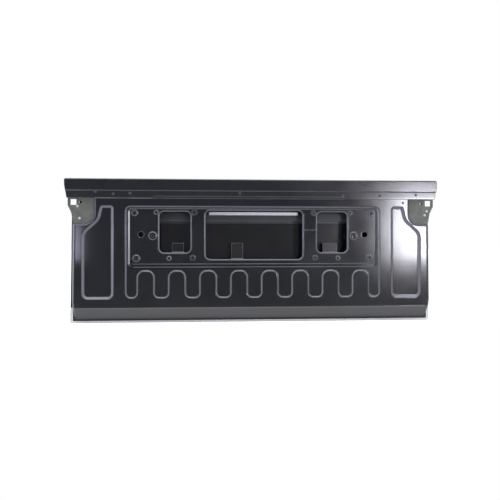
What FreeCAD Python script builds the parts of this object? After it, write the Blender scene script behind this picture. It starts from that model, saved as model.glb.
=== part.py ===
"""Tailgate shell of a pickup truck, seen from the load bed side.

A pressed inner panel is hemmed into an outer skin along the bottom and both sides. A folded rail
closes the top, a latch plate fills each upper corner, and brackets, stiffeners and nuts sit inside.
X runs along the gate, Y from the bed side to the outer skin, Z up. Millimetres.
"""
import FreeCAD, Part
import math
import os

import Sketcher

doc = FreeCAD.newDocument("Tailgate")

# Driving dimensions

SIZES = [
    ("sheet_gauge", 1.2, "thickness of the pressed sheets"),
    ("centre_opening_width", 386, "large access opening"),
    ("centre_opening_height", 192, "large access opening"),
    ("opening_web", 59.5, "web between the large and the small opening"),
    ("service_opening_width", 121.5, "small access opening"),
    ("service_opening_height", 161, "small access opening"),
    ("service_opening_drop", 4.5, "top of the small opening below the top of the large one"),
    ("opening_corner", 18, "corner radius of the access openings"),
    ("opening_gap", 5, "foot of the plate wall to the top of the large opening"),
    ("lip_depth", 12, "turned-in lip of an access opening"),
    ("lip_bend", 4, "bend between the plate and the lip"),
    ("outer_field", 132, "small opening to the edge of the central recess"),
    ("recess_gap", 45, "rib between the central and the side recess"),
    ("side_recess_width", 122, "side recess at its rim"),
    ("side_margin", 37, "side recess to the side of the face"),
    ("hem_height", 11, "foot of the sloped band above the lower edge"),
    ("band_height", 53, "sloped band below the face"),
    ("lower_margin", 37, "face below the valleys of the wavy edge"),
    ("finger_height", 105, "height of a finger of the wavy edge"),
    ("finger_width", 60, "flat top of a finger"),
    ("valley_width", 62, "valley between two fingers at its rim"),
    ("finger_corner", 24, "corner radius at the top of a finger"),
    ("valley_corner", 22, "corner radius at the bottom of a valley"),
    ("finger_gap", 16, "top of the fingers to the ledge of the plate"),
    ("plate_height", 232, "ledge to the top rim of the plate"),
    ("recess_land", 3.5, "flat land between the two steps above the plate"),
    ("side_land", 4.5, "flat land between the two steps beside the plate"),
    ("recess_depth", 5.5, "first step of the central recess"),
    ("plate_depth", 3.5, "second step of the central recess"),
    ("ledge_run", 12, "sloping width of the ledge under the plate"),
    ("plate_side_run", 8, "sloping width of the second step at the sides"),
    ("recess_corner", 20, "corner radius of the central recess"),
    ("side_recess_depth", 8, "side recess"),
    ("side_recess_run", 10, "sloping width of the side recess wall"),
    ("side_recess_corner", 24, "lower corner radius of the side recess"),
    ("side_recess_top", 50, "top of the side recess"),
    ("side_recess_waist", 62, "side recess where its slanting edge bends"),
    ("side_recess_waist_drop", 81, "that bend below the seam"),
    ("side_recess_shoulder", 135, "upper end of the long outer edge below the seam"),
    ("side_recess_sink", 3, "foot of the side recess below the valleys"),
    ("side_recess_lift", 1, "top of the side recess above the central recess"),
    ("upper_margin", 30, "face between the central recess and the seam"),
    ("seam_flange", 7, "flange of the rail on the face"),
    ("rail_band_height", 22, "sloped band of the rail"),
    ("rail_face_height", 46.8, "upright face of the rail"),
    ("rail_projection", 8, "rail face in front of the panel face"),
    ("rail_step", 2.5, "sloping band of the rail, its upper edge in front of its lower one"),
    ("rail_crease_bend", 2.5, "bend below the upright face"),
    ("rail_corner", 5, "cut corner at the ends of the rail's top"),
    ("rail_top_depth", 58, "width of the rail's top"),
    ("rail_overhang", 28, "rail end beyond the side of the face"),
    ("rail_taper_height", 23, "start of that taper above the crease of the rail"),
    ("rail_taper", 9, "rail end narrows by this towards the seam"),
    ("rail_bend", 5, "bends of the rail"),
    ("rail_end_inset", 14, "closing plate inside the end of the rail"),
    ("rail_end_reach", 40, "closing plate behind the face of the rail"),
    ("rail_end_height", 30, "closing plate below the top of the rail"),
    ("rail_end_flange", 14, "flange of the closing plate on the face of the rail"),
    ("panel_depth", 62.8, "face of the panel to its flange against the skin"),
    ("panel_lap", 37, "panel above the seam, behind the rail"),
    ("wall_spread", 8, "each side wall widens by this towards the skin"),
    ("edge_radius", 12, "rounded edge between the face and the side walls"),
    ("ear_inset", 24, "side wall beside the latch, inside the side of the face"),
    ("ear_height", 55, "lower end of the ear wall below the seam"),
    ("waist_inset", 4, "side wall at the waist, inside the side of the face"),
    ("waist_height", 100, "waist below the seam"),
    ("foot_inset", 8, "side wall at the lower corner, inside the side of the face"),
    ("foot_height", 92, "level at which the side wall starts to run in"),
    ("latch_pocket_width", 90, "latch pocket from the side of the face inwards"),
    ("latch_pocket_height", 107, "latch pocket below the seam"),
    ("latch_pocket_depth", 12, "latch pocket"),
    ("latch_pocket_run", 6, "sloping width of the latch pocket wall"),
    ("latch_pocket_corner", 46, "inner lower corner radius of the latch pocket"),
    ("latch_gauge", 2, "latch plate"),
    ("latch_clearance", 0.6, "latch plate to the pocket wall"),
    ("latch_wing", 17.5, "latch plate beyond the side of the face"),
    ("latch_wing_lip", 10, "turned edge of the latch plate"),
    ("latch_wing_slope", 13.5, "sideways run of the wing's slope"),
    ("latch_wing_level", 28, "lower end of the straight wing edge below the seam"),
    ("latch_wing_height", 56, "wing edge at its slope below the seam"),
    ("latch_lap", 20, "latch plate above the seam flange, behind the rail"),
    ("striker_width", 22, "square striker opening"),
    ("striker_offset", 5, "middle of the striker opening inside the side of the face"),
    ("striker_drop", 16, "middle of the striker opening below the seam"),
    ("rod_hole", 10, "round hole beside the striker opening"),
    ("rod_hole_offset", 27, "round hole inwards of the striker opening"),
    ("rod_hole_room", 2.5, "wider hole of the panel round the one in the latch plate"),
    ("skin_waist", 10, "skin beyond the face at the waist"),
    ("skin_foot", 16, "skin beyond the face at the lower corner"),
    ("ear_corner", 25, "side wall at the lower end of the ear"),
    ("waist_corner", 30, "side wall at the waist"),
    ("side_corner", 60, "side wall where it starts to run in"),
    ("foot_corner", 15, "side wall at the lower corner"),
    ("skin_corner", 8, "lower corner radius of the skin"),
    ("hem_lip", 5, "folded edge of the skin at the sides"),
    ("hem_bottom_lip", 9, "folded edge of the skin at the bottom"),
    ("skin_notch_height", 9, "upper edge of the notch of the skin above the seam"),
    ("skin_notch_fall", 1, "slope of the notch's edges"),
    ("skin_notch_gap", 4, "notch of the skin outside the ear wall"),
    ("skin_notch_drop", 52, "lower end of the notch's wall below the seam"),
    ("skin_notch_foot", 65, "lower end of the notch below the seam"),
    ("skin_notch_corner", 4, "corners of the notch"),
    ("skin_field_corner", 30, "corner radius of the raised fields"),
    ("skin_field_depth", 6, "raised field of the skin"),
    ("skin_field_run", 16, "sloping edge of the raised field"),
    ("skin_field_margin", 46, "raised field inside the edge of the skin"),
    ("skin_lower_depth", 3, "further step of the lower skin field"),
    ("skin_lower_drop", 68, "top of the lower field below the top of the large opening"),
    ("skin_bend", 3, "bends round the raised fields"),
    ("skin_top_inset", 14, "skin top inside the rail end"),
    ("skin_top_flange", 22, "flange of the skin under the rail's top"),
    ("stiffener_half", 520, "half length of the cross stiffener"),
    ("stiffener_web", 34, "height of the stiffener's web"),
    ("stiffener_flange", 9, "flanges of the stiffener"),
    ("stiffener_depth", 18.8, "web of the stiffener in front of the skin"),
    ("stiffener_lean", 5, "upper edge of the stiffener's web behind its lower one"),
    ("stiffener_bend", 3, "bends of the stiffener"),
    ("stiffener_drop", 5.5, "stiffener web below the top of the large opening"),
    ("handle_bar_half", 179, "half length of the handle reinforcement"),
    ("handle_bar_height", 11, "slanting leg of the handle reinforcement"),
    ("handle_bar_reach", 11, "foot of that leg in front of the stiffener"),
    ("handle_bar_shelf", 8, "handle reinforcement on top of the stiffener"),
    ("bracket_gauge", 2, "support brackets"),
    ("bracket_rise", 64, "top of the support brackets above the large opening's lower lip"),
    ("bracket_reach", 26, "foot of a support bracket"),
    ("bracket_return", 8, "folded top of a support bracket"),
    ("bracket_set_back", 2, "front of a bracket foot behind the bend of the lip"),
    ("centre_bracket_width", 46, "support bracket in the large opening"),
    ("centre_bracket_offset", 67, "that bracket left of the middle"),
    ("left_bracket_width", 46, "support bracket in the left small opening"),
    ("right_bracket_width", 58, "support bracket in the right small opening"),
    ("side_bracket_offset", 27, "those brackets from the inner edge of their openings"),
    ("seat_inset", 12, "hinge seat inside the side of the face"),
    ("seat_lift", 6, "lower end of the hinge seat above the lower edge of the face"),
    ("seat_height", 60, "hinge seat"),
    ("seat_front", 14, "hinge seat behind the face"),
    ("seat_width", 40, "hinge seat"),
    ("seat_plate", 3, "reinforcement behind the hinge seat"),
    ("seat_plate_margin", 2, "edge of the reinforcement inside the seat"),
    ("seat_bolt_pitch", 36, "hinge bolts"),
    ("seat_bolt_hole", 9, "hinge bolt holes"),
    ("ring_row_drop", 9.5, "upper row of rings below the top of the large opening"),
    ("ring_row_lift", 35.5, "lower row of rings above the ledge"),
    ("upper_ring_offset", 97, "upper outer ring outwards of the small opening"),
    ("middle_ring_offset", 26.5, "middle ring outwards of the small opening"),
    ("middle_ring_lift", 66, "middle ring above the foot of the small opening"),
    ("lower_ring_offset", 90, "lower outer ring outwards of the small opening"),
    ("upper_ring", 12.5, "radius of the upper outer ring"),
    ("middle_ring", 16, "radius of the middle ring"),
    ("lower_ring", 14, "radius of the lower outer ring"),
    ("upper_insert_inset", 15, "upper square insert inwards of the small opening"),
    ("upper_insert_drop", 3, "upper square insert below the top of the small opening"),
    ("lower_insert_inset", 8.5, "lower square insert inwards of the small opening"),
    ("lower_insert_lift", 1.5, "lower square insert above the lower row"),
    ("upper_bump_offset", 12, "upper bump outwards of the small opening"),
    ("upper_bump_lift", 2, "upper bump above the upper row"),
    ("lower_bump_inset", 37.5, "lower bump inwards of the small opening's outer edge"),
    ("vent_offset", 71, "plain hole outwards of the small opening"),
    ("vent_lift", 71, "plain hole above the foot of the small opening"),
    ("boss_height", 2, "raised rings round the cover holes"),
    ("boss_slope", 3, "sloping width of a raised ring"),
    ("cover_hole", 9, "cover screw holes"),
    ("square_boss", 10.5, "radius of the rings with square inserts"),
    ("square_hole", 10, "square hole of an insert"),
    ("insert_head", 17, "square head of an insert"),
    ("insert_head_gauge", 2, "square head of an insert"),
    ("insert_depth", 11, "insert behind the sheet"),
    ("insert_bore", 4.6, "screw bore of an insert"),
    ("nut_width", 15, "weld nut across its corners"),
    ("nut_height", 6.5, "weld nut"),
    ("nut_bore", 6.8, "weld nut"),
    ("vent_hole", 22, "plain round hole"),
    ("bump_radius", 9, "solid raised bump"),
    ("insert_clearance", 0.2, "insert body to its square hole"),
    ("sealer_inset", 2, "bead of sealer inside the edge of the hem"),
    ("sealer_width", 8, "bead of sealer on the hem"),
    ("sealer_lift", 0.5, "bead of sealer above the lower edge"),
    ("sealer_rise", 62, "bead of sealer up the lower corners"),
    ("sealer_gauge", 1, "bead of sealer"),
]

sheet = doc.addObject("Spreadsheet::Sheet", "Sizes")
for row, (alias, number, note) in enumerate(SIZES, start=1):
    sheet.set(f"A{row}", note)
    sheet.set(f"B{row}", str(number))
    sheet.setAlias(f"B{row}", alias)
doc.recompute()


def value(words):
    """Number that an expression in the sheet's words stands for."""
    return float(sheet.evalExpression(words))


# Levels and widths that follow from the sheet, as expressions

centre_edge = "(Sizes.centre_opening_width / 2)"
service_inner = f"({centre_edge} + Sizes.opening_web)"
service_outer = f"({service_inner} + Sizes.service_opening_width)"
recess_half = f"({service_outer} + Sizes.outer_field)"
side_recess_inner = f"({recess_half} + Sizes.recess_gap)"
side_recess_outer = f"({side_recess_inner} + Sizes.side_recess_width)"
face_half = f"({side_recess_outer} + Sizes.side_margin)"
rail_half = f"({face_half} + Sizes.rail_overhang)"

face_bottom = "(Sizes.hem_height + Sizes.band_height)"
valley_level = f"({face_bottom} + Sizes.lower_margin)"
finger_level = f"({valley_level} + Sizes.finger_height)"
ledge_level = f"({finger_level} + Sizes.finger_gap)"
plate_top = f"({ledge_level} + Sizes.plate_height)"
recess_top = f"({plate_top} + Sizes.recess_land + Sizes.recess_depth)"
seam_level = f"({recess_top} + Sizes.upper_margin)"
band_top = f"({seam_level} + Sizes.seam_flange)"
rail_crease = f"({band_top} + Sizes.rail_band_height)"
gate_top = f"({rail_crease} + Sizes.rail_face_height)"
panel_top = f"({seam_level} + Sizes.panel_lap)"

plate_face = "(Sizes.recess_depth + Sizes.plate_depth)"
centre_top = f"({plate_top} - Sizes.plate_depth - Sizes.opening_gap)"
centre_bottom = f"({centre_top} - Sizes.centre_opening_height)"
service_top = f"({centre_top} - Sizes.service_opening_drop)"
service_bottom = f"({service_top} - Sizes.service_opening_height)"
seat_plane = f"({face_half} - Sizes.seat_inset)"
seat_low = f"({face_bottom} + Sizes.seat_lift)"
seat_middle_level = f"({seat_low} + Sizes.seat_height / 2)"
seat_middle_depth = "(Sizes.seat_front + Sizes.seat_width / 2)"
striker_level = f"({seam_level} - Sizes.striker_drop)"
striker_half = f"({face_half} - Sizes.striker_offset)"
skin_face = "(Sizes.panel_depth + Sizes.skin_field_depth)"

gauge = value("Sizes.sheet_gauge")
panel_depth = value("Sizes.panel_depth")
FINGERS = 8
# Cutting blocks start this far in front of a sheet, and run on this far behind it
LEAD = 1.0
BEHIND = 20.0
# Two points or planes this near each other count as the same
NEAR = 0.01


# Outlines and drafted blocks

def moved_corners(corners, runs):
    """Corners of a closed outline after each edge, from a corner to the next, moved inwards by its run."""
    count = len(corners)
    area = 0.0
    for index in range(count):
        (ax, az), (bx, bz) = corners[index], corners[(index + 1) % count]
        area += ax * bz - bx * az
    side = math.copysign(1.0, area)
    lines = []
    for index in range(count):
        (ax, az), (bx, bz) = corners[index], corners[(index + 1) % count]
        length = math.hypot(bx - ax, bz - az)
        along = ((bx - ax) / length, (bz - az) / length)
        inward = (-along[1] * side, along[0] * side)
        start = (ax + inward[0] * runs[index], az + inward[1] * runs[index])
        lines.append((start, along))
    moved = []
    for index in range(count):
        (ax, az), (ux, uz) = lines[index - 1]
        (bx, bz), (vx, vz) = lines[index]
        cross = ux * vz - uz * vx
        travel = ((bx - ax) * vz - (bz - az) * vx) / cross
        moved.append((ax + ux * travel, az + uz * travel))
    return moved


def moved_radii(corners, radii, runs):
    """Corner radii that keep the rounded corners of a moved outline parallel to the old ones."""
    count = len(corners)
    area = sum(corners[i][0] * corners[(i + 1) % count][1] - corners[(i + 1) % count][0] * corners[i][1]
               for i in range(count))
    moved = []
    for index in range(count):
        (ax, az), (bx, bz), (cx, cz) = corners[index - 1], corners[index], corners[(index + 1) % count]
        turn = (bx - ax) * (cz - bz) - (bz - az) * (cx - bx)
        run = (runs[index - 1] + runs[index]) / 2
        outer = turn * area > 0
        kept = radii[index] - run if outer else radii[index] + run
        moved.append(kept if radii[index] > 0 else 0.0)
    return moved


def outline(corners, radii, depth):
    """Closed wire in the plane Y = depth with each corner rounded by its own radius."""
    count = len(corners)
    ends = []
    for index in range(count):
        before = FreeCAD.Vector(corners[index - 1][0], depth, corners[index - 1][1])
        here = FreeCAD.Vector(corners[index][0], depth, corners[index][1])
        after = FreeCAD.Vector(corners[(index + 1) % count][0], depth, corners[(index + 1) % count][1])
        back = (before - here).normalize()
        forth = (after - here).normalize()
        half_angle = back.getAngle(forth) / 2
        reach = radii[index] / math.tan(half_angle)
        middle = (back + forth).normalize()
        nearest = radii[index] / math.sin(half_angle) - radii[index]
        ends.append((here + back * reach, here + middle * nearest, here + forth * reach))
    edges = []
    for index in range(count):
        entry, crown, leave = ends[index]
        if radii[index] > 0:
            edges.append(Part.Arc(entry, crown, leave).toShape())
        edges.append(Part.LineSegment(leave, ends[(index + 1) % count][0]).toShape())
    return Part.Wire(edges)


def drafted(corners, radii, runs, start, depth):
    """Block that narrows by the runs from Y = start to Y = start + depth, begun a little in front."""
    lead_runs = [-run * LEAD / depth for run in runs]
    front = outline(moved_corners(corners, lead_runs), moved_radii(corners, radii, lead_runs), start - LEAD)
    back = outline(moved_corners(corners, runs), moved_radii(corners, radii, runs), start + depth)
    return Part.makeLoft([front, back], True, True)


def prism(corners, radii, start, end):
    """Straight block between the planes Y = start and Y = end."""
    return Part.Face(outline(corners, radii, start)).extrude(FreeCAD.Vector(0, end - start, 0))


def mirrored(shape):
    """The same shape on the other side of the gate's middle."""
    return shape.mirror(FreeCAD.Vector(0, 0, 0), FreeCAD.Vector(1, 0, 0))


def both_sides(right_half):
    """Closed outline from the corners of its right half, listed from the top down."""
    return right_half + [(-x, z) for x, z in reversed(right_half)]


def box(x_low, x_high, y_low, y_high, z_low, z_high):
    """Plain block between three pairs of planes."""
    corner = FreeCAD.Vector(x_low, y_low, z_low)
    return Part.makeBox(x_high - x_low, y_high - y_low, z_high - z_low, corner)


def flat_edges(shape, depth, reach, low, high):
    """Edges in the plane Y = depth, within reach of the middle and between two levels."""
    found = []
    for edge in shape.Edges:
        bounds = edge.BoundBox
        flat = abs(bounds.YMin - depth) < NEAR and abs(bounds.YMax - depth) < NEAR
        inside = max(abs(bounds.XMin), abs(bounds.XMax)) < reach
        if flat and inside and bounds.ZMin > low and bounds.ZMax < high:
            found.append(edge)
    return found


# Inner panel: places of its openings, recesses and holes

def opening_corners(inner, outer, low, high):
    return [(inner, low), (outer, low), (outer, high), (inner, high)]


centre_opening = opening_corners(-value(centre_edge), value(centre_edge), value(centre_bottom), value(centre_top))
right_opening = opening_corners(value(service_inner), value(service_outer), value(service_bottom), value(service_top))
left_opening = opening_corners(-value(service_outer), -value(service_inner), value(service_bottom), value(service_top))
OPENINGS = [centre_opening, right_opening, left_opening]

upper_row = f"({centre_top} - Sizes.ring_row_drop)"
lower_row = f"({ledge_level} + Sizes.ring_row_lift)"
# Rings with a round hole: distance from the middle, level and radius of the ring
ROUND_RINGS = {
    "upper": (f"({service_outer} + Sizes.upper_ring_offset)", upper_row, "Sizes.upper_ring"),
    "middle": (f"({service_outer} + Sizes.middle_ring_offset)", f"({service_bottom} + Sizes.middle_ring_lift)",
               "Sizes.middle_ring"),
    "lower": (f"({service_outer} + Sizes.lower_ring_offset)", lower_row, "Sizes.lower_ring"),
}
# Rings with a square insert: distance from the middle and level
SQUARE_RINGS = {
    "upper": (f"({service_inner} - Sizes.upper_insert_inset)", f"({service_top} - Sizes.upper_insert_drop)"),
    "lower": (f"({service_inner} - Sizes.lower_insert_inset)", f"({lower_row} + Sizes.lower_insert_lift)"),
}
# Solid bumps: distance from the middle and level
BUMPS = [
    (f"({service_outer} + Sizes.upper_bump_offset)", f"({upper_row} + Sizes.upper_bump_lift)"),
    (f"({service_outer} - Sizes.lower_bump_inset)", lower_row),
]
VENT = (f"({service_outer} + Sizes.vent_offset)", f"({service_bottom} + Sizes.vent_lift)")


def finger_outline():
    """Rim of the central recess: a rounded top and a wavy lower edge with one valley beside each finger."""
    half = value(recess_half)
    low = value(valley_level)
    high = value(finger_level)
    flat = value("Sizes.finger_width") / 2
    pitch = value("Sizes.finger_width + Sizes.valley_width")
    corners = [(-half, value(recess_top)), (-half, low)]
    radii = [value("Sizes.recess_corner"), value("Sizes.valley_corner")]
    for number in range(FINGERS):
        middle = (number - (FINGERS - 1) / 2) * pitch
        corners += [(middle - flat, low), (middle - flat, high), (middle + flat, high), (middle + flat, low)]
        radii += [value("Sizes.valley_corner"), value("Sizes.finger_corner")]
        radii += [value("Sizes.finger_corner"), value("Sizes.valley_corner")]
    corners += [(half, low), (half, value(recess_top))]
    radii += [value("Sizes.valley_corner"), value("Sizes.recess_corner")]
    return corners, radii


def recess_tool(shift):
    """Both steps of the central recess."""
    corners, radii = finger_outline()
    first_depth = value("Sizes.recess_depth")
    first = drafted(corners, radii, [first_depth] * len(corners), shift, first_depth)
    second_depth = value("Sizes.plate_depth")
    half = value(recess_half) - first_depth - value("Sizes.side_land")
    plate = [(-half, value(plate_top)), (-half, value(ledge_level)),
             (half, value(ledge_level)), (half, value(plate_top))]
    side_run = value("Sizes.plate_side_run")
    runs = [side_run, value("Sizes.ledge_run"), side_run, second_depth]
    corner = value("Sizes.recess_corner") - first_depth
    second = drafted(plate, [corner] * 4, runs, shift + first_depth, second_depth)
    return first.fuse(second)


def side_recess_tool(shift):
    """Side recess with its upper outer corner cut away along the latch pocket."""
    inner = value(side_recess_inner)
    outer = value(side_recess_outer)
    seam = value(seam_level)
    low = value(valley_level) - value("Sizes.side_recess_sink")
    high = value(recess_top) + value("Sizes.side_recess_lift")
    corners = [(inner, low), (outer, low), (outer, seam - value("Sizes.side_recess_shoulder")),
               (inner + value("Sizes.side_recess_waist"), seam - value("Sizes.side_recess_waist_drop")),
               (inner + value("Sizes.side_recess_top"), high), (inner, high)]
    corner = value("Sizes.side_recess_corner")
    radii = [corner, corner, 2 * corner, 2 * corner, corner / 2, corner / 2]
    runs = [value("Sizes.side_recess_run")] * len(corners)
    return drafted(corners, radii, runs, shift, value("Sizes.side_recess_depth"))


def latch_pocket_tool(shift):
    """Upper corner of the face set back for the latch plate, open to the side and to the top."""
    edge = value(face_half) - value("Sizes.latch_pocket_width")
    low = value(seam_level) - value("Sizes.latch_pocket_height")
    far = value(rail_half) + BEHIND
    high = value(panel_top) + 2 * BEHIND
    run = value("Sizes.latch_pocket_run")
    corners = [(edge, low), (far, low), (far, high), (edge, high)]
    return drafted(corners, [value("Sizes.latch_pocket_corner"), 0, 0, 0], [run, 0, 0, run], shift,
                   value("Sizes.latch_pocket_depth"))


def seat_tool(shift):
    """Hinge seat set into the side wall."""
    low = value(seat_low)
    front = value("Sizes.seat_front")
    return box(value(seat_plane) - shift, value(rail_half), front - shift,
               front + value("Sizes.seat_width") + shift, low - shift, low + value("Sizes.seat_height") + shift)


def side_wall_corners(shift):
    """Outline of the face, its sides moved in by the shift."""
    face = value(face_half)
    seam = value(seam_level)
    above = value(panel_top) + shift * BEHIND
    ear = face - value("Sizes.ear_inset")
    foot = face - value("Sizes.foot_inset")
    right = [(ear, above), (ear, seam - value("Sizes.ear_height")),
             (face - value("Sizes.waist_inset"), seam - value("Sizes.waist_height")),
             (face, value("Sizes.foot_height")), (foot, value("Sizes.hem_height")), (foot, -BEHIND)]
    corners = both_sides(right)
    runs = [shift] * 5 + [0] + [shift] * 5 + [0]
    return moved_corners(nudged(corners), runs)


def nudged(corners):
    """The outline with its two lowest corners a little further in, so that no two edges are in line."""
    count = len(corners) // 2
    low_right = corners[count - 1]
    low_left = corners[count]
    changed = list(corners)
    changed[count - 1] = (low_right[0] - 1, low_right[1])
    changed[count] = (low_left[0] + 1, low_left[1])
    return changed


def pan(shift):
    """Filled block behind one side of the sheet, before the recesses."""
    end = panel_depth + BEHIND
    slope = value("Sizes.band_height") / panel_depth
    above = value(panel_top) + shift * BEHIND
    profile = [(0, above), (0, value(face_bottom)), (end, value(face_bottom) - slope * end), (end, above)]
    profile = moved_corners(profile, [shift, shift, 0, 0])
    reach = value(rail_half)
    points = [FreeCAD.Vector(-reach, y, z) for y, z in profile]
    slab = Part.Face(Part.makePolygon(points + points[:1])).extrude(FreeCAD.Vector(2 * reach, 0, 0))
    corners = side_wall_corners(shift)
    spread = -value("Sizes.wall_spread") * end / panel_depth
    runs = [spread] * 5 + [0] + [spread] * 5 + [0]
    bends = [0] + [value(f"Sizes.{word}_corner") for word in ("ear", "waist", "side", "foot")] + [0]
    radii = bends + bends[::-1]
    block = slab.common(drafted(corners, radii, runs, 0, end))
    rim = [edge for edge in block.Edges if on_rim(edge, shift)]
    return block.makeFillet(value("Sizes.edge_radius") - shift, rim)


def on_rim(edge, shift):
    """Whether an edge runs along the front of a side wall."""
    middle = edge.valueAt((edge.FirstParameter + edge.LastParameter) / 2)
    slope = value("Sizes.band_height") / panel_depth
    front = max(shift, shift * math.hypot(1, slope) + (value(face_bottom) - middle.z) / slope)
    at_side = abs(middle.x) > value(face_half) - value("Sizes.ear_inset") - BEHIND
    upright = abs(edge.BoundBox.XLength) < BEHIND * 2
    return at_side and upright and abs(middle.y - max(front, shift)) < 0.5


def pressing(shift):
    """Filled block behind one side of the finished sheet."""
    side = side_recess_tool(shift)
    block = pan(shift).cut(recess_tool(shift).fuse([side, mirrored(side)])).removeSplitter()
    face = value(plate_face) + shift
    if shift == 0:
        block = block.fuse(raised_rings(face))
    for corners in OPENINGS:
        grown = moved_corners(corners, [-shift] * len(corners))
        corner = value("Sizes.opening_corner") + shift
        block = block.cut(prism(grown, [corner] * len(corners), -LEAD, panel_depth + 2 * BEHIND))
    reach = value(service_outer) + 2 * shift + LEAD
    low = value(centre_bottom) - 2 * shift - LEAD
    high = value(centre_top) + 2 * shift + LEAD
    rims = [edge for edge in flat_edges(block, face, reach, low, high) if beside_opening(edge)]
    block = block.makeChamfer(value("Sizes.lip_bend") - shift * (2 - math.sqrt(2)), rims)
    pocket = latch_pocket_tool(shift)
    seat = seat_tool(shift)
    return block.cut([pocket, mirrored(pocket), seat, mirrored(seat)])


def raised_rings(face):
    """Low cones on the plate round the holes, and the solid bumps beside them."""
    backward = FreeCAD.Vector(0, -1, 0)
    height = value("Sizes.boss_height")
    slope = value("Sizes.boss_slope")
    rings = list(ROUND_RINGS.values())
    rings += [(across, level, "Sizes.square_boss") for across, level in SQUARE_RINGS.values()]
    rings += [(across, level, "Sizes.bump_radius") for across, level in BUMPS]
    cones = []
    for across, level, base in rings:
        for side_x in (value(across), -value(across)):
            foot = FreeCAD.Vector(side_x, face, value(level))
            cones.append(Part.makeCone(value(base), value(base) - slope, height, foot, backward))
    return cones


def beside_opening(edge):
    """Whether an edge belongs to an access opening and not to a raised ring."""
    middle = edge.valueAt((edge.FirstParameter + edge.LastParameter) / 2)
    for corners in OPENINGS:
        xs = [x for x, z in corners]
        zs = [z for x, z in corners]
        gap_x = max(min(xs) - middle.x, middle.x - max(xs))
        gap_z = max(min(zs) - middle.z, middle.z - max(zs))
        if max(gap_x, gap_z) < 2 * LEAD:
            return True
    return False


def skin_corners():
    """Outline of the outer skin: a notch beside each latch, then widening to the lower corners."""
    face = value(face_half)
    seam = value(seam_level)
    top_half = value(rail_half) - value("Sizes.skin_top_inset")
    notch = face - value("Sizes.ear_inset") + value("Sizes.skin_notch_gap")
    notch_top = seam + value("Sizes.skin_notch_height")
    fall = value("Sizes.skin_notch_fall")
    waist = face + value("Sizes.skin_waist")
    right = [(top_half, value(gate_top) - gauge), (top_half, notch_top), (notch, notch_top - fall),
             (notch + fall, seam - value("Sizes.skin_notch_drop")),
             (waist, seam - value("Sizes.skin_notch_foot")), (face + value("Sizes.skin_foot"), 0)]
    return both_sides(right)


def skin_radii(lower):
    """Corner radii that go with that outline."""
    notch = value("Sizes.skin_notch_corner")
    right = [0, notch, notch, notch, notch, lower]
    return right + right[::-1]


def across_hole(x_plane, radius, depth, level):
    """Round bar along X through a side wall."""
    start = FreeCAD.Vector(x_plane - BEHIND / 2, depth, level)
    return Part.makeCylinder(radius, BEHIND, start, FreeCAD.Vector(1, 0, 0))


def through_hole(across, radius, level):
    """Round bar along Y through the face of the panel."""
    start = FreeCAD.Vector(across, -LEAD, level)
    return Part.makeCylinder(radius, BEHIND + LEAD, start, FreeCAD.Vector(0, 1, 0))


def panel_holes():
    """Holes pierced through the sheet: cover screws, inserts, vents, latch rods and hinge bolts."""
    tools = []
    for side in (-1, 1):
        for across, level, ring in ROUND_RINGS.values():
            tools.append(through_hole(side * value(across), value("Sizes.cover_hole") / 2, value(level)))
        corner = value("Sizes.square_hole") / math.sqrt(2)
        for across, level in SQUARE_RINGS.values():
            x, z = side * value(across), value(level)
            diamond = [(x - corner, z), (x, z - corner), (x + corner, z), (x, z + corner)]
            tools.append(prism(diamond, [0] * 4, -LEAD, BEHIND))
        tools.append(through_hole(side * value(VENT[0]), value("Sizes.vent_hole") / 2, value(VENT[1])))
        rod = value(striker_half) - value("Sizes.rod_hole_offset")
        wide = value("Sizes.rod_hole") / 2 + value("Sizes.rod_hole_room")
        tools.append(through_hole(side * rod, wide, value(striker_level)))
        for end in (-1, 1):
            level = value(seat_middle_level) + end * value("Sizes.seat_bolt_pitch") / 2
            tools.append(across_hole(side * value(seat_plane), value("Sizes.seat_bolt_hole") / 2,
                                     value(seat_middle_depth), level))
    return tools


def make_inner_panel():
    """Sheet between the two filled blocks, with a flange all round in the plane of the skin."""
    corners = skin_corners()
    hemmed = moved_corners(corners, [gauge] * len(corners))
    flange = prism(hemmed, skin_radii(value("Sizes.skin_corner") - gauge), panel_depth - gauge, panel_depth)
    reach = value(rail_half) + BEHIND
    above = value(gate_top) + BEHIND
    flange = flange.cut(box(-reach, reach, 0, panel_depth + BEHIND, value(panel_top), above))
    solid = pressing(0).fuse(flange).cut(pressing(gauge))
    lip_end = value(plate_face) + value("Sizes.lip_depth")
    trims = [box(-reach, reach, panel_depth, panel_depth + 3 * BEHIND, -3 * BEHIND, above)]
    for corners in OPENINGS:
        grown = moved_corners(corners, [-3 * gauge] * 4)
        corner = value("Sizes.opening_corner") + 3 * gauge
        trims.append(prism(grown, [corner] * 4, lip_end, panel_depth + 3 * BEHIND))
    return solid.cut(trims + panel_holes())


# Outer skin

def field_corners(top, margin):
    """Outline of a raised field of the skin."""
    half = value(face_half) + value("Sizes.skin_waist") - margin
    return [(-half, margin), (half, margin), (half, top), (-half, top)]


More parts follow.
